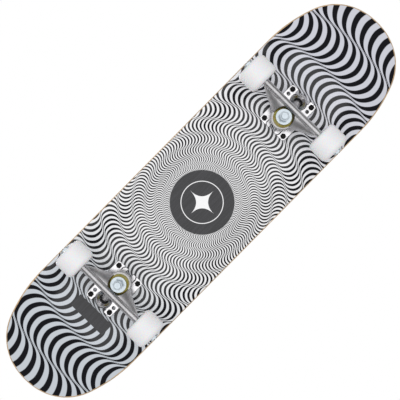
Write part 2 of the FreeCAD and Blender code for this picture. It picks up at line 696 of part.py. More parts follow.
def hanger(name):
    """Wings, ring, spine and pivot stem in one casting, bored for axle and kingpin."""
    pin = kingpin_frame()
    cup = pivot_frame()
    axle_at = axle_point()
    along_axle = Rotation(Vector(1, 0, 0), -90)
    body = wings(f"{name}_wings")
    ring_blank = disc(f"{name}_ring", "ring_radius", RING_LOW, RING_HIGH, pin.Base, pin.Rotation)
    ring = with_round_edges(ring_blank, size("ring_round"),
                            lambda edge: edge.BoundBox.YLength > size("ring_radius"))
    stem_end = f"pivot_ball_radius * {NECK_SHARE}"
    foot = str(stem_length())
    stem = cone(f"{name}_stem", "pivot_ball_radius - pivot_neck_step", "pivot_root_radius", stem_end, foot,
                cup.Base, cup.Rotation)
    ball = primitive("Sphere", f"{name}_ball", cup.Base, Radius="pivot_ball_radius")
    foot_ball = primitive("Sphere", f"{name}_foot", cup.multVec(Vector(0, 0, stem_length())),
                          Radius="pivot_root_radius")
    spine_top = cup.multVec(Vector(0, 0, SPINE_SHARE * stem_length()))
    spine_way = spine_top - axle_at
    spine = primitive("Cylinder", f"{name}_spine", axle_at, Rotation(Vector(0, 0, 1), spine_way),
                      Radius="housing_radius + spine_wall")
    spine.Height = spine_way.Length
    solid = fuse(f"{name}_solid", body, ring, stem, ball, foot_ball, spine)
    room = "bushing_room"
    road_room = disc(f"{name}_road_room", f"road_bushing_base + {room}", "0 - 2 * ring_drop",
                     RING_LOW, pin.Base, pin.Rotation)
    board_room = disc(f"{name}_board_room", f"board_bushing_radius + {room}", RING_HIGH,
                      "2 * ring_drop", pin.Base, pin.Rotation)
    ring_hole = disc(f"{name}_ring_hole", "ring_hole", "0 - ring_thickness", "ring_thickness",
                     pin.Base, pin.Rotation)
    axle_bore = disc(f"{name}_axle_bore", "axle_diameter / 2", "0 - hanger_length", "hanger_length",
                     axle_at, along_axle)
    housing = disc(f"{name}_housing", "housing_radius", "0 - hanger_length / 2", "hanger_length / 2",
                   axle_at, along_axle)
    scooped = cut(f"{name}_scooped", solid, road_room, board_room)
    return cut(name, fuse(f"{name}_with_housing", scooped, housing), ring_hole, axle_bore)


# ---------------------------------------------------------------- what turns on the axle

FIRST_BEARING = "hanger_length / 2 + speed_washer_thickness"
SECOND_BEARING = f"{FIRST_BEARING} + bearing_width + spacer_length"
OUTER_WASHER = f"{SECOND_BEARING} + bearing_width"
AXLE_NUT = f"{OUTER_WASHER} + speed_washer_thickness"
WHEEL_MIDDLE = f"{FIRST_BEARING} + bearing_width + spacer_length / 2"
SPACER = f"{FIRST_BEARING} + bearing_width"
BEARINGS = (FIRST_BEARING, SECOND_BEARING)


def hub_frame(side):
    """In the truck's frame: the middle of the axle, z out towards one side's wheel."""
    return Placement(axle_point(), Rotation(Vector(1, 0, 0), -90 * side))


def washer(name, radius, bore, thickness):
    return cut(name, disc(f"{name}_blank", radius, "0", thickness),
               disc(f"{name}_bore", bore, "0 - past", f"{thickness} + past"))


def race(name, outside, inside):
    """One ring of a bearing, with the groove its balls run in."""
    groove = primitive("Torus", f"{name}_groove", Vector(0, 0, size("bearing_width") / 2),
                       Radius1="ball_circle", Radius2="ball_radius + running_gap")
    return cut(name, disc(f"{name}_blank", outside, "0", "bearing_width"),
               disc(f"{name}_bore", inside, "0 - past", "bearing_width + past"), groove)


def ball_spots():
    """The balls of one bearing, round its axis."""
    middle = size("bearing_width") / 2
    step = 2 * math.pi / BALLS_PER_BEARING
    return [Vector(size("ball_circle") * math.cos(step * index),
                   size("ball_circle") * math.sin(step * index), middle)
            for index in range(BALLS_PER_BEARING)]


def cage(name):
    """A ring with a round pocket for each ball."""
    low = "( bearing_width - cage_width ) / 2"
    blank = disc(f"{name}_blank", "cage_outer", low, f"{low} + cage_width")
    bore = disc(f"{name}_bore", "cage_inner", "0", "bearing_width")
    pockets = [primitive("Sphere", f"{name}_pocket_{index}", spot, Radius="ball_radius + 2 * running_gap")
               for index, spot in enumerate(ball_spots())]
    return cut(name, blank, bore, *pockets)


def wheel(name):
    """A cast tyre with a web between its bearing seats and a flared mouth on each face."""
    web = "spacer_length / 2"
    seat = "spacer_length / 2 + bearing_width"
    face = "wheel_width / 2"
    upper = [("wheel_web_bore", web), ("bearing_radius", web), ("bearing_radius", seat),
             ("bearing_radius + wheel_mouth_step", seat), ("wheel_mouth", face), ("wheel_radius", face)]
    lower = [(radius, f"0 - ( {height} )") for radius, height in reversed(upper)]
    body = turned(name, upper + lower)
    return rounded(body, "wheel_round",
                   lambda edge: edge.BoundBox.XLength > 2 * size("wheel_radius") - LEVEL
                   and edge.BoundBox.ZLength < LEVEL)


def up(formula):
    """A step out along the axle."""
    return Placement(Vector(0, 0, size(formula)), Rotation())


def build_wheel(name, frame):
    """One wheel with its two bearings, less the inner rings, which stay on the axle."""
    finish(wheel(f"{name}_wheel"), f"{name}_wheel", frame * up(WHEEL_MIDDLE))
    pair = [frame * up(start) for start in BEARINGS]
    ring = race(f"{name}_outer_ring", "bearing_radius", "bearing_outer_land")
    finish(group(f"{name}_bearing_outer_rings", ring, pair), f"{name}_bearing_outer_rings")
    shield = washer(f"{name}_shield", "bearing_outer_land", "shield_bore", "shield_thickness")
    far_shield = "bearing_width - shield_inset - shield_thickness"
    shields = [place * up(inset) for place in pair for inset in ("shield_inset", far_shield)]
    finish(group(f"{name}_bearing_shields", shield, shields), f"{name}_bearing_shields")
    ball = primitive("Sphere", f"{name}_ball", Radius="ball_radius")
    balls = [place * Placement(spot, Rotation()) for place in pair for spot in ball_spots()]
    finish(group(f"{name}_bearing_balls", ball, balls), f"{name}_bearing_balls")
    finish(group(f"{name}_bearing_cages", cage(f"{name}_cage"), pair), f"{name}_bearing_cages")


# ---------------------------------------------------------------- trucks

def mounting_bolt(name):
    """A countersunk bolt with a cross recess, its head's top at z = 0."""
    body = turned(name, [("0", "0"), ("bolt_head / 2", "0"),
                         ("bolt_diameter / 2", "0 - bolt_head_height"),
                         ("bolt_diameter / 2", "0 - bolt_length"), ("0", "0 - bolt_length")])
    arms = []
    for number, sides in enumerate((("cross_length", "cross_width"), ("cross_width", "cross_length"))):
        length, width = sides
        corner = Vector(-size(length) / 2, -size(width) / 2, -size("cross_depth"))
        arms.append(block(f"{name}_cross_{number}", length, width, "2 * cross_depth", corner))
    return cut(f"{name}_crossed", body, *arms)


def build_truck(name, turn):
    """Every piece of one truck, drawn in the truck's frame and then put under the deck."""
    frame = truck_place(turn)
    pin = frame * kingpin_frame()
    deck_step = Placement(Vector(0, 0, DECK_TOP - UNDERSIDE), Rotation())
    nut_step = Placement(Vector(0, 0, -size("base_thickness + mount_nut_height")), Rotation())
    spots = [frame * Placement(spot, Rotation()) for spot in hole_places()]

    finish(baseplate(f"{name}_baseplate"), f"{name}_baseplate", frame)
    bolt = mounting_bolt(f"{name}_bolt")
    finish(group(f"{name}_mounting_bolts", bolt, [spot * deck_step for spot in spots]),
           f"{name}_mounting_bolts")
    nut = hex_nut(f"{name}_mount_nut", "mount_nut_flats", "mount_nut_height", "bolt_diameter / 2")
    finish(group(f"{name}_mounting_nuts", nut, [spot * nut_step for spot in spots]),
           f"{name}_mounting_nuts")
    finish(pivot_cup(f"{name}_pivot_cup"), f"{name}_pivot_cup", frame * pivot_frame())

    finish(kingpin(f"{name}_kingpin"), f"{name}_kingpin", pin)
    nut = hex_nut(f"{name}_kingpin_nut", "kingpin_nut_flats", "kingpin_nut_height",
                  "kingpin_diameter / 2")
    finish(nut, f"{name}_kingpin_nut", pin * up(KINGPIN_NUT))
    finish(cupped_washer(f"{name}_boardside_washer", "board_washer_radius", BOARD_WASHER, False),
           f"{name}_boardside_washer", pin)
    finish(cupped_washer(f"{name}_roadside_washer", "road_washer_radius", ROAD_WASHER, True),
           f"{name}_roadside_washer", pin)
    finish(board_bushing(f"{name}_boardside_bushing"), f"{name}_boardside_bushing", pin)
    finish(road_bushing(f"{name}_roadside_bushing"), f"{name}_roadside_bushing", pin)

    finish(hanger(f"{name}_hanger"), f"{name}_hanger", frame)
    axle = disc(f"{name}_axle", "axle_diameter / 2", "0 - axle_length / 2", "axle_length / 2")
    finish(axle, f"{name}_axle", frame * hub_frame(1) * up("0 - axle_length / 2"))
    hubs = {side: frame * hub_frame(side) for side in (1, -1)}
    nut = hex_nut(f"{name}_axle_nut", "axle_nut_flats", "axle_nut_height", "axle_diameter / 2")
    finish(group(f"{name}_axle_nuts", nut, [hub * up(AXLE_NUT) for hub in hubs.values()]),
           f"{name}_axle_nuts")
    thin = washer(f"{name}_speed_washer", "speed_washer_radius", "axle_diameter / 2",
                  "speed_washer_thickness")
    steps = ("hanger_length / 2", OUTER_WASHER)
    finish(group(f"{name}_speed_washers", thin, [hub * up(step) for hub in hubs.values() for step in steps]),
           f"{name}_speed_washers")
    ring = race(f"{name}_inner_ring", "bearing_inner_land", "bearing_bore")
    finish(group(f"{name}_bearing_inner_rings", ring,
                 [hub * up(start) for hub in hubs.values() for start in BEARINGS]),
           f"{name}_bearing_inner_rings")
    tube = washer(f"{name}_spacer", "spacer_radius", "axle_diameter / 2", "spacer_length")
    finish(group(f"{name}_bearing_spacers", tube, [hub * up(SPACER) for hub in hubs.values()]),
           f"{name}_bearing_spacers")
    for side, hub in hubs.items():
        on_left = side * math.cos(math.radians(turn)) > 0
        build_wheel(f"{name}_{'left' if on_left else 'right'}", hub)


# ---------------------------------------------------------------- build, check, write

def check_and_write():
    """Stop at any failed object or bad shape, then write one file for each sub-part."""
    DOC.recompute()
    failed = [item.Name for item in DOC.Objects if {"Invalid", "Error"} & set(item.State)]
    if failed:
        raise RuntimeError(f"failed objects: {failed}")
    bad = [piece.Label for piece in FINISHED if piece.Shape.isNull() or not piece.Shape.isValid()]
    if bad:
        raise RuntimeError(f"bad shapes: {bad}")
    os.makedirs("parts", exist_ok=True)
    for piece in FINISHED:
        piece.Shape.exportStep(f"parts/{piece.Label}.step")
        print(f"{piece.Label:34} solids {len(piece.Shape.Solids):2}  volume {piece.Shape.Volume:10.1f}")
    print(len(FINISHED), "sub-parts")


build_deck()
for truck_name, truck_turn in TRUCKS.items():
    build_truck(truck_name, truck_turn)
check_and_write()
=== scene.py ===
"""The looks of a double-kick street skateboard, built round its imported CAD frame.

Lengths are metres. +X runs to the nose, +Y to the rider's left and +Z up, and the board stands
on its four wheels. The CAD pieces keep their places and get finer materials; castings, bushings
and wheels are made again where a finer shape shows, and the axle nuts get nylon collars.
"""
import json
import math

import bmesh
import bpy
from bpy.props import FloatProperty, FloatVectorProperty, IntProperty, PointerProperty
from mathutils import Matrix, Vector


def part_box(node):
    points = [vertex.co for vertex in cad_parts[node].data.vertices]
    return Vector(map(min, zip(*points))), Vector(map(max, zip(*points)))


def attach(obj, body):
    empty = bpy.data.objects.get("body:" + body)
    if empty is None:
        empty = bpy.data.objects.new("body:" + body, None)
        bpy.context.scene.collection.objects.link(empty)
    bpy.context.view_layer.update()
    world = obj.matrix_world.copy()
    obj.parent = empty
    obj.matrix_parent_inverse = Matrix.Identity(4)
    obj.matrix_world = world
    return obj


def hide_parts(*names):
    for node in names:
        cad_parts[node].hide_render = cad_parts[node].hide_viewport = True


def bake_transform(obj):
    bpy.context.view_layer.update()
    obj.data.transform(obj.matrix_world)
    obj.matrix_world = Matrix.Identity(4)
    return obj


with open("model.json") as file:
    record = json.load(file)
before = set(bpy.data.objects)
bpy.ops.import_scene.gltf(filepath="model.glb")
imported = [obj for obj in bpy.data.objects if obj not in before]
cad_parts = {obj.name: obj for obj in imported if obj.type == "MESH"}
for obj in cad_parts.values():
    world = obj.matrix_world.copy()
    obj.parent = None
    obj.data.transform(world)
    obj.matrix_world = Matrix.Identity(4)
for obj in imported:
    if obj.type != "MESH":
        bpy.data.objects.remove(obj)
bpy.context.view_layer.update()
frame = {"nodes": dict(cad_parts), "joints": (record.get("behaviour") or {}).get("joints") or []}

bl_info = {
    "name": "Skateboard looks",
    "version": (1, 0, 0),
    "blender": (4, 5, 0),
    "location": "View3D > Sidebar > Skateboard",
    "description": "Materials, castings, wheels and stage for a street skateboard",
    "category": "Object",
}

NODES = frame["nodes"]
MM = 0.001
TRUCKS = ("front", "rear")
WHEELS = [f"{truck}_{side}" for truck in TRUCKS for side in ("left", "right")]
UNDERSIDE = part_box("deck_ply_1")[0].z
CROSS_PLIES = (3, 5)
PRINT_CENTRE = (-0.56 * MM, 2.8 * MM)
# The plain plate on the tail: its far and near ends from the middle of the board, and half its width.
PLATE = (262.0 * MM, 239.0 * MM, 35.0 * MM)
CASTING_CREASE = math.radians(60)
WHEEL_CREASE = math.radians(40)


def middle(node):
    """The middle of a CAD node's box."""
    low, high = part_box(node)
    return (low + high) / 2


# ---------------------------------------------------------------- sizes and colours to change

def length(name, description, default):
    """A property for a length in metres."""
    return FloatProperty(name=name, description=description, default=default, min=0.0,
                         unit="LENGTH", precision=5)


def tint(name, description, default):
    """A property for a colour."""
    return FloatVectorProperty(name=name, description=description, default=default,
                               subtype="COLOR", size=3, min=0.0, max=1.0)


class DeckLooks(bpy.types.PropertyGroup):
    """The printed underside, the wood and the griptape."""
    rays: IntProperty(name="Rays", description="Light stripes round the middle of the print",
                      default=122, min=3)
    swing: FloatProperty(name="Swing", description="How far a ray swings to each side",
                         default=0.1353, subtype="ANGLE")
    waves: FloatProperty(name="Waves", description="Waves of a ray for each natural step of radius",
                         default=16.3424)
    wave_start: FloatProperty(name="Wave start", description="Phase of the waves at one metre",
                              default=4.626, subtype="ANGLE", precision=4)
    fullness: FloatProperty(name="Fullness", description="Power of the place within half a wave",
                            default=1.652)
    pinch: FloatProperty(name="Pinch", description="Power that pinches the ends of half a wave",
                         default=0.2724)
    ray_start: FloatProperty(name="Ray start", description="Phase of the first stripe's middle",
                             default=3.878, subtype="ANGLE", precision=4)
    seen_from: length("Seen from", "Distance below the ground from which the print looks even", 2.0)
    disc_radius: length("Disc", "Radius of the plain disc in the middle", 0.0513)
    ring_radius: length("Ring", "Radius of the thin ring on the disc", 0.0335)
    star_reach: length("Star", "Reach of the four-pointed star", 0.027)
    light_middle: tint("Light, middle", "Light stripes in the middle", (0.93, 0.93, 0.94))
    light_nose: tint("Light, nose", "Light stripes on the nose", (0.66, 0.67, 0.74))
    light_tail: tint("Light, tail", "Light stripes on the tail", (0.60, 0.64, 0.69))
    dark: tint("Dark", "Dark stripes", (0.006, 0.006, 0.009))
    disc: tint("Disc", "Plain disc and tail plate", (0.017, 0.017, 0.020))
    maple: tint("Maple", "Face plies", (0.72, 0.50, 0.29))
    maple_cross: tint("Cross ply", "Cross plies, seen on end grain", (0.52, 0.31, 0.15))
    grit: tint("Grit", "Griptape", (0.016, 0.016, 0.017))


class TruckLooks(bpy.types.PropertyGroup):
    """Castings, bushings and fasteners."""
    voxel: length("Grain of the castings", "Voxel size of the softened castings", 0.0005)
    ring_half: length("Ring", "Half the thickness of the hanger's ring", 0.0035)
    upper_length: length("Upper bushing", "Length of the barrel bushing", 0.013)
    upper_radius: length("Upper bushing radius", "Radius of the barrel bushing", 0.0132)
    lower_length: length("Lower bushing", "Length of the cone bushing", 0.011)
    lower_base: length("Lower bushing base", "Wide radius of the cone bushing", 0.0154)
    lower_tip: length("Lower bushing tip", "Narrow radius of the cone bushing", 0.0100)
    bore: length("Bore", "Bore radius of the bushings", 0.005)
    aluminium: tint("Aluminium", "Cast and tumbled aluminium", (0.88, 0.87, 0.89))
    zinc: tint("Zinc", "Blue-white zinc plating", (0.70, 0.78, 0.84))
    urethane: tint("Bushing", "Olive amber urethane", (0.30, 0.25, 0.035))


class WheelLooks(bpy.types.PropertyGroup):
    """Wheels and bearings."""
    shoulder: length("Shoulder", "Round of the wheel's shoulders", 0.0075)
    mouth: length("Mouth", "Radius of the flared mouth", 0.0145)
    seat: length("Seat", "Radius of the bearing seat", 0.011)
    seat_step: length("Seat step", "Step between the seat and the flared mouth", 0.0008)
    web_bore: length("Web bore", "Radius of the bore between the bearings", 0.0094)
    half_web: length("Web", "Half the width of the web between the bearings", 0.005)
    bearing: length("Bearing", "Width of a bearing", 0.007)
    urethane: tint("Urethane", "White wheel urethane", (0.85, 0.85, 0.87))


class StageLooks(bpy.types.PropertyGroup):
    """Camera, lights and floor."""
    distance: length("Camera", "Distance of the camera below the ground", 2.0)
    view_width: length("View", "Width seen at the deck's underside", 0.6333)
    roll: FloatProperty(name="Roll", description="Angle of the nose above the view's right",
                        default=math.radians(45.4), subtype="ANGLE")
    aim_right: FloatProperty(name="Aim right", description="Camera's step to its right",
                             default=-0.0017, unit="LENGTH", precision=5)
    aim_up: FloatProperty(name="Aim up", description="Camera's step up in its view",
                          default=0.0013, unit="LENGTH", precision=5)
    floor: tint("Floor", "Pale floor", (0.86, 0.86, 0.86))
    soft_below: FloatProperty(name="Light below", description="Even light from below", default=0.76)
    soft_above: FloatProperty(name="Light above", description="Even light from above", default=0.50)
    panel: FloatProperty(name="Panel", description="Brightness of the panel behind the camera",
                         default=1.25)


def looks(group):
    """The property group of that name on the scene."""
    return getattr(bpy.context.scene, f"skateboard_{group}")


# ---------------------------------------------------------------- shader maths

class Field:
    """A number that changes over a surface: a shader socket with Python's operators."""

    def __init__(self, shader, socket):
        self.shader = shader
        self.socket = socket

    def __add__(self, other):
        return self.shader.math("ADD", self, other)

    def __sub__(self, other):
        return self.shader.math("SUBTRACT", self, other)

    def __rsub__(self, other):
        return self.shader.math("SUBTRACT", other, self)

    def __mul__(self, other):
        return self.shader.math("MULTIPLY", self, other)

    def __truediv__(self, other):
        return self.shader.math("DIVIDE", self, other)

    def __rtruediv__(self, other):
        return self.shader.math("DIVIDE", other, self)

    def __pow__(self, other):
        return self.shader.math("POWER", self, other)

    def __neg__(self):
        return self.shader.math("MULTIPLY", self, -1.0)

    __radd__ = __add__
    __rmul__ = __mul__


def socket_name(word):
    """The surface's socket for a keyword: specular_ior_level is Specular IOR Level."""
    return word.replace("_", " ").title().replace("Ior", "IOR")


class Shader:
    """A new material and the nodes that it is made of."""

    def __init__(self, name, **constants):
        self.material = bpy.data.materials.new(name)
        self.material.use_nodes = True
        self.tree = self.material.node_tree
        self.surface = next(node for node in self.tree.nodes if node.type == "BSDF_PRINCIPLED")
        for socket, value in constants.items():
            self.surface.inputs[socket_name(socket)].default_value = value

    def node(self, kind, settings, inputs):
        """A node of that type, with its settings first and then its sockets' values or links."""
        made = self.tree.nodes.new(f"ShaderNode{kind}")
        for name, value in settings.items():
            setattr(made, name, value)
        for name, value in inputs.items():
            self.feed(made.inputs[name], value)
        return made

    def feed(self, socket, value):
        """Link a field or a node's socket to a socket, or set it to a plain value."""
        if isinstance(value, Field):
            value = value.socket
        if isinstance(value, bpy.types.NodeSocket):
            self.tree.links.new(value, socket)
        elif isinstance(value, (tuple, list, Vector)) or hasattr(value, "r"):
            parts = tuple(value)
            socket.default_value = parts if len(parts) == len(socket.default_value) else (*parts, 1.0)
        else:
            socket.default_value = value

    def math(self, operation, *values):
        made = self.node("Math", {"operation": operation}, dict(enumerate(values)))
        return Field(self, made.outputs[0])

    def place(self):
        """Object coordinates, as a vector socket."""
        return self.node("TexCoord", {}, {}).outputs["Object"]

    def parts(self, vector):
        """The X, Y and Z of a vector, as fields."""
        split = self.node("SeparateXYZ", {}, {0: vector})
        return [Field(self, output) for output in split.outputs]

    def normal(self):
        return self.parts(self.node("NewGeometry", {}, {}).outputs["Normal"])

    def stretched(self, vector, scale):
        """A vector, scaled along each axis."""
        return self.node("Mapping", {}, {"Vector": vector, "Scale": scale}).outputs[0]

    def noise(self, vector, scale, detail=3.0, roughness=0.55):
        made = self.node("TexNoise", {}, {"Vector": vector, "Scale": scale, "Detail": detail,
                                          "Roughness": roughness})
        return Field(self, made.outputs["Fac"])

    def cells(self, vector, scale, feature="F1"):
        made = self.node("TexVoronoi", {"feature": feature}, {"Vector": vector, "Scale": scale})
        return Field(self, made.outputs["Distance"])

    def between(self, value, low, high):
        """A smooth step from 0 at low to 1 at high."""
        made = self.node("MapRange", {"interpolation_type": "SMOOTHSTEP"},
                         {"Value": value, "From Min": low, "From Max": high})
        return Field(self, made.outputs[0])

    def blend(self, first, second, share, kind="MIX"):
        """A colour between two colours."""
        made = self.node("Mix", {"data_type": "RGBA", "blend_type": kind},
                         {"Factor": share, 6: first, 7: second})
        return made.outputs[2]

    def bump(self, height, depth, strength=1.0):
        made = self.node("Bump", {}, {"Height": height, "Distance": depth, "Strength": strength})
        self.feed(self.surface.inputs["Normal"], made.outputs[0])

    def finish(self, **fields):
        """Feed the surface's sockets and give the material."""
        for name, value in fields.items():
            self.feed(self.surface.inputs[socket_name(name)], value)
        return self.material


# ---------------------------------------------------------------- materials

def maple_colour(shader, colour, across):
    """Maple with fine pores and soft figure that run along the board or across it."""
    along = (3.0, 60.0, 60.0) if not across else (60.0, 3.0, 60.0)
    grain = shader.stretched(shader.place(), along)
    figure = shader.noise(grain, 4.0, 4.0)
    pores = shader.between(shader.noise(grain, 22.0, 2.0), 0.58, 0.66)
    dark = tuple(0.62 * part for part in colour)
    return shader.blend(shader.blend(dark, colour, shader.between(figure, 0.3, 0.65)),
                        tuple(0.45 * part for part in colour), pores * 0.5)


def ply_material(number):
    """One ply: long grain on the face plies, end grain on the cross plies."""
    look = looks("deck")
    across = number in CROSS_PLIES
    shader = Shader(f"maple_ply_{number}", roughness=0.5)
    colour = maple_colour(shader, tuple(look.maple_cross if across else look.maple), across)
    shader.bump(shader.noise(shader.place(), 900.0), 0.00008, 0.6)
    return shader.finish(base_color=colour)


def print_material():
    """Wavy rays round a plain disc, printed on the lowest ply and lacquered; bare wood on its rim."""
    look = looks("deck")
    shader = Shader("deck_print")
    x, y, z = shader.parts(shader.place())
    # The print is even as seen from far below, so it shrinks a little up the kicks.
    even = (look.seen_from + UNDERSIDE) / (z + look.seen_from)
    centre_x, centre_y = PRINT_CENTRE
    from_x = (x - centre_x) * even
    from_y = (y - centre_y) * even
    radius = (from_x * from_x + from_y * from_y) ** 0.5
    # Each half wave is an arc with pinched ends, and the halves swing to either side by turns.
    halves = (shader.math("LOGARITHM", radius, math.e) * look.waves + look.wave_start) / math.pi
    along = shader.math("ABSOLUTE", shader.math("FRACT", halves) * 2.0 - 1.0)
    arch = (1.0 - along ** look.fullness) ** look.pinch
    side = 1.0 - shader.math("FLOORED_MODULO", shader.math("FLOOR", halves), 2.0) * 2.0
    wave = arch * side
    angle = shader.math("ARCTAN2", from_y, from_x) + wave * look.swing
    stripe = shader.math("COSINE", angle * look.rays - look.ray_start)
    light = shader.between(stripe, -0.2, 0.2)

    # The light stripes are greyer towards both ends.
    nose = shader.between(x, 0.08, 0.30)
    tail = shader.between(-x, 0.08, 0.28)
    pale = shader.blend(look.light_middle, look.light_nose, nose)
    pale = shader.blend(pale, look.light_tail, tail)
    faint = shader.noise(shader.stretched(shader.place(), (4.0, 90.0, 90.0)), 5.0, 3.0)
    pale = shader.blend(pale, (0.80, 0.80, 0.82), shader.between(faint, 0.55, 0.8) * 0.25, "MULTIPLY")
    stripes = shader.blend(look.dark, pale, light)

    worn = tuple(1.8 * part for part in look.disc)
    plain = shader.blend(look.disc, worn, shader.between(faint, 0.35, 0.7))
    edge = 0.2 * MM
    outer, inner, half_width = PLATE
    along_plate = (shader.between(-x, inner - edge, inner + edge)
                   * shader.between(x, -outer - edge, -outer + edge))
    off_middle = shader.math("ABSOLUTE", y - centre_y)
    plate = along_plate * shader.between(-off_middle, -half_width - edge, -half_width + edge)
    in_disc = shader.between(-radius, -look.disc_radius - edge / 2, -look.disc_radius + edge / 2)
    ink = shader.blend(stripes, plain, shader.math("MAXIMUM", in_disc, plate))

    # A four-pointed star in a thin ring marks the middle of the disc.
    reach = shader.math("ABSOLUTE", from_x) ** 0.5 + shader.math("ABSOLUTE", from_y) ** 0.5
    point, fade = look.star_reach ** 0.5, 0.0008
    star = shader.between(-reach, -point - fade, -point + fade)
    off_ring = shader.math("ABSOLUTE", radius - look.ring_radius)
    ring = shader.between(-off_ring, -0.75 * MM, -0.55 * MM)
    ink = shader.blend(ink, look.light_middle, shader.math("MAXIMUM", star, ring))

    down = -shader.normal()[2]
    wood = maple_colour(shader, tuple(look.maple), False)
    colour = shader.blend(wood, ink, shader.between(down, 0.80, 0.86))
    scuffs = shader.noise(shader.stretched(shader.place(), (6.0, 70.0, 70.0)), 9.0, 5.0, 0.7)
    rough = 0.15 + shader.between(scuffs, 0.5, 0.8) * 0.10
    shader.bump(shader.noise(shader.place(), 160.0, 2.0), 0.00006, 0.5)
    return shader.finish(base_color=colour, roughness=rough)


def grip_material():
    """Black grit: crystals of half a millimetre on a dull bed; scattered specks get a painted glint, pale
    grey in their colour, and less roughness.
    """
    look = looks("deck")
    shader = Shader("grit")
    place = shader.place()
    crystals = shader.cells(place, 1700.0)
    patches = shader.noise(place, 25.0, 4.0)
    # Scattered specks that get a painted glint.
    painted_glint = shader.between(shader.noise(place, 2600.0, 1.0), 0.66, 0.74)
    pale = tuple(3.2 * part for part in look.grit)
    colour = shader.blend(look.grit, pale, shader.between(crystals, 0.15, 0.7))
    colour = shader.blend(colour, (0.075, 0.072, 0.068), shader.between(patches, 0.5, 0.85) * 0.4)
    # Painted glint: pale grey painted into the colour of those specks.
    colour = shader.blend(colour, (0.42, 0.42, 0.44), painted_glint * 0.55)
    shader.bump(crystals, 0.00035, 0.9)
    return shader.finish(base_color=colour, roughness=0.92 - painted_glint * 0.55)


def aluminium_material(name, rough):
    """Cast aluminium, tumbled bright: a faint pebbled skin, duller in patches."""
    look = looks("truck")
    shader = Shader(name, metallic=1.0)
    place = shader.place()
    pebbles = shader.noise(place, 900.0, 3.0, 0.6)
    patches = shader.noise(place, 70.0, 4.0)
    duller = tuple(0.80 * part for part in look.aluminium)
    colour = shader.blend(duller, look.aluminium, shader.between(patches, 0.35, 0.65))
    pits = shader.between(shader.noise(place, 420.0, 2.0), 0.66, 0.76)
    colour = shader.blend(colour, (0.40, 0.40, 0.43), pits * 0.5)
    shader.bump(pebbles, 0.00008, 0.4)
    return shader.finish(base_color=colour, roughness=rough + patches * 0.12)


def steel_material(name, colour, streaks, rough, grain=(1.0, 1.0, 1.0)):
    """Plated or turned steel: a colour, darker streaks and an uneven polish."""
    shader = Shader(name, metallic=1.0)
    place = shader.stretched(shader.place(), grain)
    uneven = shader.noise(place, 260.0, 4.0, 0.65)
    fine = shader.noise(place, 2200.0, 2.0)
    darker = tuple(streaks * part for part in colour)
    tinted = shader.blend(darker, colour, shader.between(uneven, 0.35, 0.6))
    shader.bump(fine, 0.00003, 0.5)
    return shader.finish(base_color=tinted, roughness=rough + uneven * 0.18)


def black_steel_material():
    """Black oxide with brown high spots and an oily, uneven sheen."""
    shader = Shader("black_oxide", metallic=0.85)
    place = shader.place()
    uneven = shader.noise(place, 380.0, 4.0)
    colour = shader.blend((0.012, 0.012, 0.013), (0.050, 0.045, 0.040), shader.between(uneven, 0.45, 0.8))
    shader.bump(shader.noise(place, 1500.0), 0.00004, 0.5)
    return shader.finish(base_color=colour, roughness=0.32 + uneven * 0.25)


def bushing_material():
    """Olive amber urethane, half clear, with a pale bloom on its worn places."""
    look = looks("truck")
    shader = Shader("amber_urethane", subsurface_weight=0.35, subsurface_scale=0.004, coat_roughness=0.2)
    place = shader.place()
    swirl = shader.noise(place, 160.0, 3.0)
    pale = (0.60, 0.54, 0.20)
    colour = shader.blend(look.urethane, pale, shader.between(swirl, 0.45, 0.75) * 0.45)
    shader.bump(shader.noise(place, 700.0), 0.00005, 0.4)
    return shader.finish(base_color=colour, roughness=0.24 + swirl * 0.18, coat_weight=0.3 + swirl * 0.2)


def moulded_material(name, colour, rough, grain=1200.0, depth=0.00005):
    """Moulded plastic or rubber: a fine matt grain and slightly uneven colour."""
    shader = Shader(name)
    place = shader.place()
    uneven = shader.noise(place, 240.0, 3.0)
    brighter = tuple(min(1.0, 1.35 * part + 0.01) for part in colour)
    tinted = shader.blend(colour, brighter, shader.between(uneven, 0.4, 0.75) * 0.6)
    shader.bump(shader.noise(place, grain), depth, 0.5)
    return shader.finish(base_color=tinted, roughness=rough + uneven * 0.15)


def wheel_material():
    """White cast urethane: satin, with soft clouds and a faint turned texture on the tread."""
    look = looks("wheel")
    shader = Shader("white_urethane", subsurface_weight=0.12, subsurface_scale=0.003)
    place = shader.place()
    clouds = shader.noise(place, 45.0, 3.0)
    warm = (0.86, 0.86, 0.85)
    colour = shader.blend(look.urethane, warm, shader.between(clouds, 0.5, 0.85) * 0.35)
    specks = shader.between(shader.noise(place, 900.0, 1.0), 0.74, 0.80)
    colour = shader.blend(colour, (0.55, 0.53, 0.50), specks * 0.25)
    turned = shader.noise(shader.stretched(place, (1.0, 12.0, 1.0)), 320.0, 2.0)
    shader.bump(turned, 0.00004, 0.5)
    return shader.finish(base_color=colour, roughness=0.38 + clouds * 0.14)


def floor_material(colour):
    """A pale floor with a faint mottle, opaque from above and open from below."""
    shader = Shader("pale_floor", roughness=0.9, specular_ior_level=0.1)
    mottle = shader.noise(shader.place(), 5.0, 3.0)
    deeper = tuple(0.97 * part for part in colour)
    shader.finish(base_color=shader.blend(deeper, colour, mottle))
    output = next(node for node in shader.tree.nodes if node.type == "OUTPUT_MATERIAL")
    clear = shader.node("BsdfTransparent", {}, {})
    behind = shader.node("NewGeometry", {}, {}).outputs["Backfacing"]
    either = shader.node("MixShader", {}, {0: behind, 1: shader.surface.outputs[0], 2: clear.outputs[0]})
    shader.feed(output.inputs["Surface"], either.outputs[0])
    return shader.material


# ---------------------------------------------------------------- making pieces

def settle(mesh, name, material, body, replaced=(), sharp=math.radians(35)):
    """Turn a mesh into a finished piece: shading, material, slot, body and the node it stands for."""
    mesh.shade_smooth()
    mesh.set_sharp_from_angle(angle=sharp)
    mesh.materials.clear()
    mesh.materials.append(material)
    piece = bpy.data.objects.new(name, mesh)
    bpy.context.scene.collection.objects.link(piece)
    if body:
        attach(piece, body)
    if replaced:
        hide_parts(*replaced)
    return piece


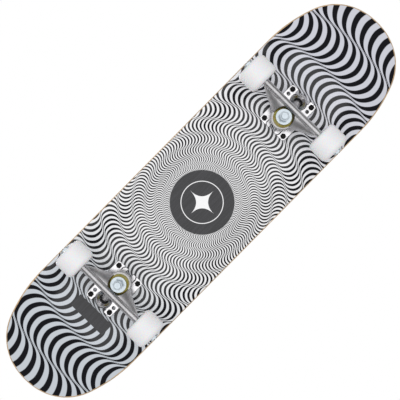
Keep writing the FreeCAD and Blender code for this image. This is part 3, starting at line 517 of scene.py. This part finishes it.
def arc(radius_at, height_at, radius, start, end, steps):
    """Points (radius, height) round part of a circle, from one angle in degrees to another."""
    angles = [math.radians(start + (end - start) * step / steps) for step in range(steps + 1)]
    return [(radius_at + radius * math.cos(angle), height_at + radius * math.sin(angle))
            for angle in angles]


def lathe(bm, profile, centre, axis, steps=72):
    """Turn a closed outline of (radius, height) points about an axis, into a closed ring."""
    axis = axis.normalized()
    side = axis.orthogonal().normalized()
    points = [bm.verts.new(centre + side * radius + axis * height) for radius, height in profile]
    edges = [bm.edges.new((point, points[(number + 1) % len(points)]))
             for number, point in enumerate(points)]
    bmesh.ops.spin(bm, geom=points + edges, cent=centre, axis=axis, angle=math.tau, steps=steps,
                   use_merge=True, use_duplicate=False)


def to_mesh(bm, name, merge=0.000001):
    """Merge doubles, turn every face outwards and give the mesh."""
    bmesh.ops.remove_doubles(bm, verts=bm.verts, dist=merge)
    bmesh.ops.recalc_face_normals(bm, faces=bm.faces)
    mesh = bpy.data.meshes.new(name)
    bm.to_mesh(mesh)
    bm.free()
    return mesh


def dress(node, material):
    """Give a CAD node that keeps its shape a finer material."""
    NODES[node].material_slots[0].material = material


def softened(node, voxel, rounds):
    """A copy of a CAD node's mesh with its edges softened, as a casting's are."""
    bm = bmesh.new()
    bm.from_mesh(NODES[node].data)
    mesh = to_mesh(bm, f"{node}_blank", 0.00001)
    blank = bpy.data.objects.new(f"{node}_blank", mesh)
    bpy.context.scene.collection.objects.link(blank)
    remesh = blank.modifiers.new("even", "REMESH")
    remesh.mode = "VOXEL"
    remesh.voxel_size = voxel
    smooth = blank.modifiers.new("soft", "SMOOTH")
    smooth.factor = 0.5
    smooth.iterations = rounds
    bpy.context.view_layer.update()
    shape = blank.evaluated_get(bpy.context.evaluated_depsgraph_get())
    result = bpy.data.meshes.new_from_object(shape)
    bpy.data.objects.remove(blank)
    return result


class Making:
    """What the operators share: they can be undone, and they raise when they can't finish."""
    bl_options = {"REGISTER", "UNDO"}


class SKATE_OT_deck(Making, bpy.types.Operator):
    """Print the underside and give the plies their wood"""
    bl_idname = "skate.deck"
    bl_label = "Deck"

    def execute(self, context):
        dress("deck_ply_1", print_material())
        for number in range(2, 8):
            dress(f"deck_ply_{number}", ply_material(number))
        return {"FINISHED"}


class SKATE_OT_griptape(Making, bpy.types.Operator):
    """Cover the top with grit"""
    bl_idname = "skate.griptape"
    bl_label = "Griptape"

    def execute(self, context):
        dress("griptape", grip_material())
        return {"FINISHED"}


class SKATE_OT_castings(Making, bpy.types.Operator):
    """Soften the cast hangers and baseplates"""
    bl_idname = "skate.castings"
    bl_label = "Castings"

    def execute(self, context):
        finishes = {"hanger": aluminium_material("tumbled_aluminium", 0.34),
                    "baseplate": aluminium_material("bright_aluminium", 0.14)}
        voxel = looks("truck").voxel
        for truck in TRUCKS:
            for part, body in (("hanger", f"{truck}_hanger_body"), ("baseplate", "board")):
                node = f"{truck}_{part}"
                settle(softened(node, voxel, 4), f"{node}_casting", finishes[part],
                       body, [node], CASTING_CREASE)
        return {"FINISHED"}


class SKATE_OT_bushings(Making, bpy.types.Operator):
    """Turn the urethane bushings that sit between baseplate and hanger"""
    bl_idname = "skate.bushings"
    bl_label = "Bushings"

    def execute(self, context):
        look = looks("truck")
        urethane = bushing_material()
        edge, bulge, steps = 1.2 * MM, 0.5 * MM, 8
        for truck in TRUCKS:
            ring = Vector(next(joint for joint in frame["joints"]
                               if joint["name"] == f"{truck}_steer")["pos_m"])
            up = (middle(f"{truck}_boardside_washer") - middle(f"{truck}_roadside_washer")).normalized()
            low, high = look.ring_half, look.ring_half + look.upper_length
            belly = [(look.upper_radius - bulge + bulge * math.sin(math.pi * step / steps),
                      low + edge + (high - low - 2 * edge) * step / steps)
                     for step in range(1, steps)]
            profile = [(look.bore, low), (look.upper_radius - bulge - edge, low)]
            profile += arc(look.upper_radius - bulge - edge, low + edge, edge, -90, 0, 4)[1:]
            profile += belly
            profile += arc(look.upper_radius - bulge - edge, high - edge, edge, 0, 90, 4)
            profile += [(look.bore, high)]
            self.turn(truck, "boardside", profile, ring, up, urethane, high, low)

            low, high = -look.ring_half, -look.ring_half - look.lower_length
            flange = 3.0 * MM
            profile = [(look.bore, low)]
            profile += arc(look.lower_base - edge, low - edge, edge, 90, 0, 4)
            profile += arc(look.lower_base - edge, low - flange, edge, 0, -70, 4)
            profile += [(look.lower_tip + 2.0 * MM, low - flange - 1.6 * MM),
                        (look.lower_tip + 0.6 * MM, low - flange - 3.4 * MM),
                        (look.lower_tip, low - flange - 5.0 * MM),
                        (look.lower_tip, high), (look.bore, high)]
            self.turn(truck, "roadside", profile, ring, up, urethane, high, low)
        return {"FINISHED"}

    def turn(self, truck, side, profile, ring, up, material, fixed, moving):
        """One bushing, turned about the steering ring; its fixed and moving heights are not used."""
        bm = bmesh.new()
        lathe(bm, profile, ring, up)
        node = f"{truck}_{side}_bushing"
        piece = settle(to_mesh(bm, f"{node}_turned"), f"{node}_turned", material,
                       None, [node])
        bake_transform(piece)


class SKATE_OT_fasteners(Making, bpy.types.Operator):
    """Finish kingpins, axles, bolts, nuts, washers and pivot cups"""
    bl_idname = "skate.fasteners"
    bl_label = "Fasteners"

    def execute(self, context):
        zinc_tint = tuple(looks("truck").zinc)
        zinc = steel_material("zinc_plate", zinc_tint, 0.82, 0.20)
        nut_tint = tuple(0.66 * part for part in zinc_tint)
        nut = steel_material("zinc_nut", nut_tint, 0.70, 0.16)
        turned = steel_material("ground_axle", (0.66, 0.66, 0.68), 0.75, 0.18, (1.0, 14.0, 1.0))
        black = black_steel_material()
        cup = moulded_material("cup_plastic", (0.012, 0.012, 0.013), 0.40)
        nylon = moulded_material("collar_nylon", (0.70, 0.78, 0.82), 0.35)
        finishes = {"kingpin": zinc, "kingpin_nut": nut, "boardside_washer": zinc,
                    "roadside_washer": zinc, "speed_washers": zinc, "axle_nuts": zinc,
                    "axle": turned, "bearing_spacers": turned, "mounting_bolts": black,
                    "mounting_nuts": black, "pivot_cup": cup}
        for truck in TRUCKS:
            for part, material in finishes.items():
                dress(f"{truck}_{part}", material)
            self.axle_collars(truck, nylon)
        return {"FINISHED"}

    def axle_collars(self, truck, material):
        """The nylon collar that stands out of each axle nut."""
        low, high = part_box(f"{truck}_axle_nuts")
        centre = middle(f"{truck}_axle_nuts")
        rise, bore, outside, edge = 0.9 * MM, 4.0 * MM, 5.6 * MM, 0.4 * MM
        bm = bmesh.new()
        for side, face in ((1, high.y), (-1, low.y)):
            profile = [(bore, 0.0), (outside, 0.0)]
            profile += arc(outside - edge, rise - edge, edge, 0, 90, 3)
            profile += [(bore, rise)]
            start = Vector((centre.x, face, centre.z))
            lathe(bm, profile, start, Vector((0, side, 0)), 48)
        settle(to_mesh(bm, f"{truck}_axle_nut_collars"), f"{truck}_axle_nut_collars", material,
               f"{truck}_hanger_body")


class SKATE_OT_wheels(Making, bpy.types.Operator):
    """Turn the four wheels"""
    bl_idname = "skate.wheels"
    bl_label = "Wheels"

    def execute(self, context):
        urethane = wheel_material()
        for wheel in WHEELS:
            node = f"{wheel}_wheel"
            bm = bmesh.new()
            lathe(bm, self.outline(node), middle(node), Vector((0, 1, 0)), 96)
            settle(to_mesh(bm, f"{node}_turned"), f"{node}_turned", urethane,
                   f"{wheel}_wheel_body", [node], WHEEL_CREASE)
        return {"FINISHED"}

    def outline(self, node):
        """Half the section of a wheel, from the web out to the tread, and its mirror image."""
        look = looks("wheel")
        low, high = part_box(node)
        face = (high.y - low.y) / 2
        radius = (high.z - low.z) / 2
        seat_end = look.half_web + look.bearing
        lip = 0.9 * MM
        groove, groove_depth = 17.0 * MM, 0.35 * MM
        upper = [(look.web_bore, look.half_web), (look.seat, look.half_web), (look.seat, seat_end),
                 (look.seat + look.seat_step, seat_end)]
        upper += arc(look.mouth + lip, face - lip, lip, 170, 90, 5)
        upper += [(groove - 0.5 * MM, face), (groove - 0.2 * MM, face - groove_depth),
                  (groove + 0.2 * MM, face - groove_depth), (groove + 0.5 * MM, face)]
        upper += arc(radius - look.shoulder, face - look.shoulder, look.shoulder, 90, 0, 14)
        lower = [(r, -h) for r, h in reversed(upper)]
        return upper + lower


class SKATE_OT_bearings(Making, bpy.types.Operator):
    """Polish the bearings, their shields, balls and cages"""
    bl_idname = "skate.bearings"
    bl_label = "Bearings"

    def execute(self, context):
        polished = steel_material("polished_race", (0.80, 0.80, 0.82), 0.88, 0.08)
        shield = moulded_material("shield_rubber", (0.014, 0.014, 0.015), 0.45)
        cage = moulded_material("cage_nylon", (0.62, 0.60, 0.52), 0.35)
        for truck in TRUCKS:
            dress(f"{truck}_bearing_inner_rings", polished)
        for wheel in WHEELS:
            dress(f"{wheel}_bearing_outer_rings", polished)
            dress(f"{wheel}_bearing_balls", polished)
            dress(f"{wheel}_bearing_shields", shield)
            dress(f"{wheel}_bearing_cages", cage)
        return {"FINISHED"}


class SKATE_OT_stage(Making, bpy.types.Operator):
    """Set the floor, the soft studio light and the camera below the board"""
    bl_idname = "skate.stage"
    bl_label = "Stage"

    def execute(self, context):
        look = looks("stage")
        self.floor(tuple(look.floor))
        self.world(context.scene, look)
        self.camera(context.scene, look)
        # A panel just behind the camera, which the metal reflects.
        behind = -look.distance - 0.06
        self.lamp("panel", (0, 0, behind), (0, 0, 1), (2.9, 0.96), look.panel)
        self.lamp("key", (-0.1, -2.0, -1.9), (0, 0.9, 1.0), (1.5, 1.0), 1.6)
        self.lamp("overhead", (-0.5, -0.7, 2.4), (0.2, 0.3, -1.0), (1.6, 1.6), 2.6)
        context.scene.view_settings.view_transform = "Standard"
        return {"FINISHED"}

    def floor(self, colour):
        bm = bmesh.new()
        bmesh.ops.create_grid(bm, x_segments=8, y_segments=8, size=30.0)
        mesh = to_mesh(bm, "floor")
        mesh.materials.append(floor_material(colour))
        floor = bpy.data.objects.new("floor", mesh)
        bpy.context.scene.collection.objects.link(floor)
        # Light passes the floor, so that the soft light below reaches the underside.
        floor.visible_diffuse = False
        floor.visible_glossy = False
        floor.visible_transmission = False
        floor.visible_shadow = False

    def world(self, scene, look):
        """White to look at; even light for diffuse surfaces; dark to reflect, brighter above."""
        world = bpy.data.worlds.new("studio")
        scene.world = world
        world.use_nodes = True
        world.cycles.sampling_method = "NONE"
        tree = world.node_tree
        tree.nodes.clear()
        output = tree.nodes.new("ShaderNodeOutputWorld")
        background = tree.nodes.new("ShaderNodeBackground")
        background.inputs["Color"].default_value = (1.0, 1.0, 1.0, 1.0)
        path = tree.nodes.new("ShaderNodeLightPath")
        direction = tree.nodes.new("ShaderNodeTexCoord")
        split = tree.nodes.new("ShaderNodeSeparateXYZ")
        tree.links.new(direction.outputs["Generated"], split.inputs[0])

        def levels(below, above):
            step = tree.nodes.new("ShaderNodeMapRange")
            step.interpolation_type = "SMOOTHSTEP"
            tree.links.new(split.outputs["Z"], step.inputs["Value"])
            for socket, value in (("From Min", -0.25), ("From Max", 0.25), ("To Min", below),
                                  ("To Max", above)):
                step.inputs[socket].default_value = value
            return step.outputs[0]

        def either(share, first, second):
            mix = tree.nodes.new("ShaderNodeMix")
            tree.links.new(path.outputs[share], mix.inputs["Factor"])
            for socket, value in ((2, first), (3, second)):
                if isinstance(value, float):
                    mix.inputs[socket].default_value = value
                else:
                    tree.links.new(value, mix.inputs[socket])
            return mix.outputs[0]

        dark_below, bright_above = 0.13, 0.55
        glossy = levels(dark_below, bright_above)
        diffuse = levels(look.soft_below, look.soft_above)
        strength = either("Is Diffuse Ray", either("Is Glossy Ray", 1.0, glossy), diffuse)
        tree.links.new(strength, background.inputs["Strength"])
        tree.links.new(background.outputs[0], output.inputs["Surface"])

    def lamp(self, name, place, towards, size, radiance):
        """A soft box of that brightness, whatever its size."""
        light = bpy.data.lights.new(name, "AREA")
        light.shape = "RECTANGLE"
        light.size, light.size_y = size
        light.energy = radiance * math.pi * size[0] * size[1]
        lamp = bpy.data.objects.new(name, light)
        bpy.context.scene.collection.objects.link(lamp)
        turn = Vector(towards).to_track_quat("-Z", "Y").to_matrix().to_4x4()
        lamp.matrix_world = Matrix.Translation(place) @ turn
        lamp.visible_camera = False

    def camera(self, scene, look):
        """Straight below the board, looking up, with the nose towards the upper right."""
        lens = bpy.data.cameras.new("camera")
        lens.sensor_width = 36.0
        lens.lens = lens.sensor_width * (look.distance + UNDERSIDE) / look.view_width
        lens.clip_start, lens.clip_end = 0.05, 100.0
        camera = bpy.data.objects.new("camera", lens)
        scene.collection.objects.link(camera)
        right = Vector((math.cos(look.roll), math.sin(look.roll), 0))
        up = Vector((math.sin(look.roll), -math.cos(look.roll), 0))
        turn = Matrix((right, up, Vector((0, 0, -1)))).transposed().to_4x4()
        place = right * look.aim_right + up * look.aim_up + Vector((0, 0, -look.distance))
        camera.matrix_world = Matrix.Translation(place) @ turn
        scene.camera = camera


class SKATE_PT_looks(bpy.types.Panel):
    """Lists the steps and the sizes and colours that they read"""
    bl_idname = "SKATE_PT_looks"
    bl_label = "Skateboard"
    bl_space_type = "VIEW_3D"
    bl_region_type = "UI"
    bl_category = "Skateboard"

    def draw(self, context):
        for step in STEPS:
            self.layout.operator(step.bl_idname)
        for group, kind in GROUPS.items():
            box = self.layout.box()
            for name in kind.__annotations__:
                box.prop(looks(group), name)


GROUPS = {"deck": DeckLooks, "truck": TruckLooks, "wheel": WheelLooks, "stage": StageLooks}
STEPS = (SKATE_OT_deck, SKATE_OT_griptape, SKATE_OT_castings, SKATE_OT_bushings, SKATE_OT_fasteners,
         SKATE_OT_wheels, SKATE_OT_bearings, SKATE_OT_stage)
CLASSES = (*GROUPS.values(), *STEPS, SKATE_PT_looks)


def register():
    for kind in CLASSES:
        bpy.utils.register_class(kind)
    for group, kind in GROUPS.items():
        setattr(bpy.types.Scene, f"skateboard_{group}", PointerProperty(type=kind))


def unregister():
    for group in GROUPS:
        delattr(bpy.types.Scene, f"skateboard_{group}")
    for kind in reversed(CLASSES):
        bpy.utils.unregister_class(kind)


def main():
    """Register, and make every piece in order."""
    register()
    bpy.ops.skate.deck()
    bpy.ops.skate.griptape()
    bpy.ops.skate.castings()
    bpy.ops.skate.bushings()
    bpy.ops.skate.fasteners()
    bpy.ops.skate.wheels()
    bpy.ops.skate.bearings()
    bpy.ops.skate.stage()


if __name__ == "__main__":
    main()
